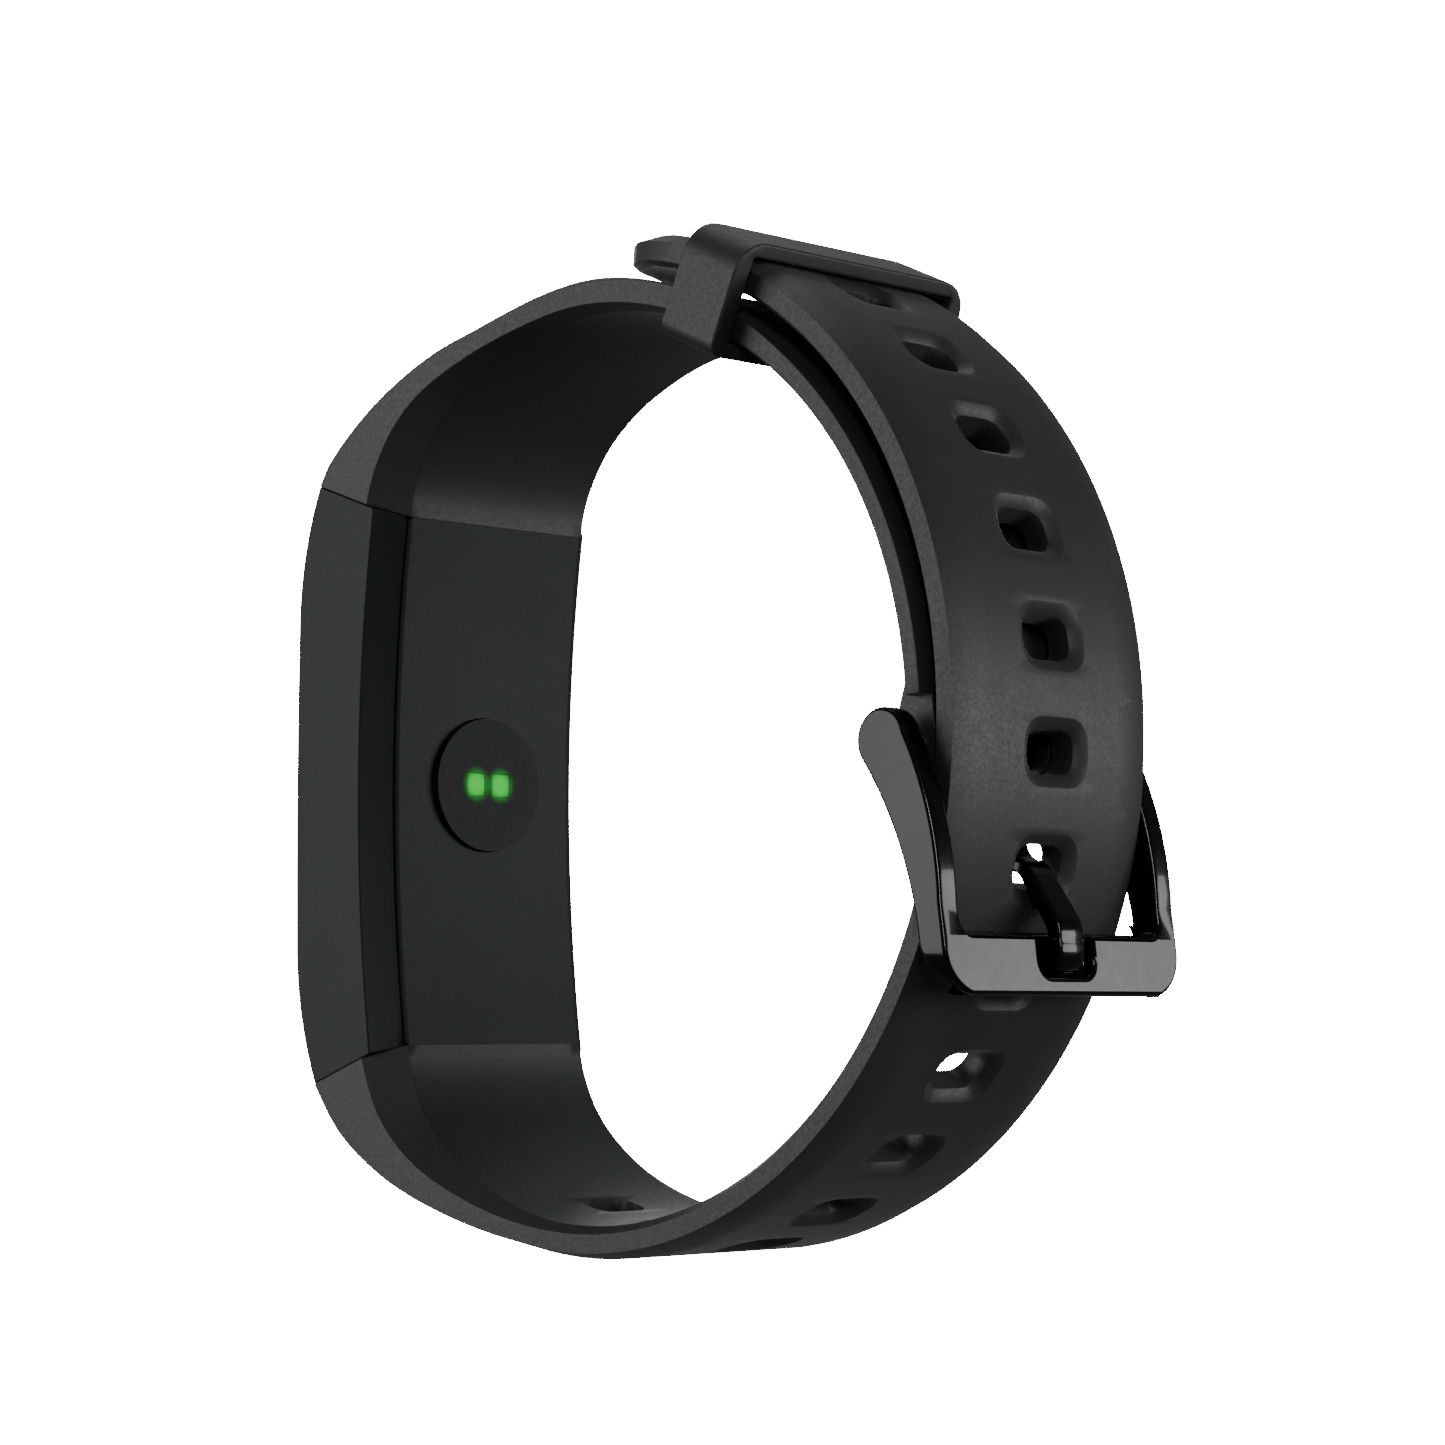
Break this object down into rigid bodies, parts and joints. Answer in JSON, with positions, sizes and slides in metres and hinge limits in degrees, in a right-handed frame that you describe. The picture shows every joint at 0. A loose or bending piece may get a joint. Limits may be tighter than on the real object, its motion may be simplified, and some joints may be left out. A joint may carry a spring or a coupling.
{
  "type": "fitness tracker band",
  "caption": "Wrist fitness tracker: curved pod with an optical heart-rate sensor, on a rubber strap closed by a pin buckle and a sliding keeper loop.",
  "frame": {"origin": "centre of the closed band's wrist opening, on the middle plane of the strap", "axes": "+X from the wrist's centre to the buckle, with the tracker pod at -X; +Y along the wrist and along the buckle's spring bar; +Z to the side of the ring with the keeper loop"},
  "size_m": [0.0571, 0.0198, 0.061],
  "materials": {
    "housing_black": "gloss",
    "cover_black": "fine satin",
    "window_black": "polished",
    "led_green": "lit",
    "lens_black": "polished",
    "display_black": "gloss",
    "film_clear": "clear",
    "board_green": "satin",
    "chip_black": "matte",
    "battery_foil": "satin foil",
    "photodiode_glass": "clear",
    "motor_steel": "brushed",
    "flex_amber": "satin",
    "gasket_black": "matte",
    "contact_gold": "gold plated",
    "strap_rubber": "matte silicone",
    "buckle_black": "gloss black plated",
    "bar_steel": "brushed"
  },
  "bodies": {
    "band": {"main_housing": "housing_black", "rear_cover": "cover_black", "sensor_window": "window_black", "green_leds": "led_green", "front_lens": "lens_black", "lens_gasket": "gasket_black", "touch_film": "film_clear", "display_module": "display_black", "main_board": "board_green", "wireless_chip": "chip_black", "motion_sensor": "chip_black", "memory_chip": "chip_black", "battery": "battery_foil", "sensor_board": "board_green", "photodiode": "photodiode_glass", "vibration_motor": "motor_steel", "sensor_flex": "flex_amber", "rear_seal": "gasket_black", "charge_contacts": "contact_gold", "strap_short": "strap_rubber", "strap_long": "strap_rubber", "spring_bar_tube": "bar_steel", "spring_bar_spring": "bar_steel"},
    "keeper": {"keeper_loop": "strap_rubber"},
    "buckle": {"buckle_frame": "buckle_black"},
    "tongue": {"buckle_tongue": "buckle_black"},
    "pin_near": {"spring_bar_pin_near": "bar_steel"},
    "pin_far": {"spring_bar_pin_far": "bar_steel"}
  },
  "joints": [
    {"name": "keeper_slide_round", "type": "hinge", "parent": "band", "child": "keeper", "pos_m": [0, 0, 0], "axis": [0, 1, 0], "range_deg": [-13, 45]},
    {"name": "buckle_pivot", "type": "hinge", "parent": "band", "child": "buckle", "pos_m": [0.026, 0, -0.00095], "axis": [0, -1, 0], "range_deg": [-4, 0]},
    {"name": "tongue_pivot", "type": "hinge", "parent": "band", "child": "tongue", "pos_m": [0.026, 0, -0.00095], "axis": [0, -1, 0], "range_deg": [0, 3]},
    {"name": "pin_near_slide", "type": "slide", "parent": "band", "child": "pin_near", "axis": [0, 1, 0], "range_m": [0, 0.001], "stiffness_N_per_m": 600, "springref_m": -0.0015, "deforming": ["spring_bar_spring"]},
    {"name": "pin_far_slide", "type": "slide", "parent": "band", "child": "pin_far", "axis": [0, -1, 0], "range_m": [0, 0.001], "stiffness_N_per_m": 600, "springref_m": -0.0015, "deforming": ["spring_bar_spring"]}
  ]
}
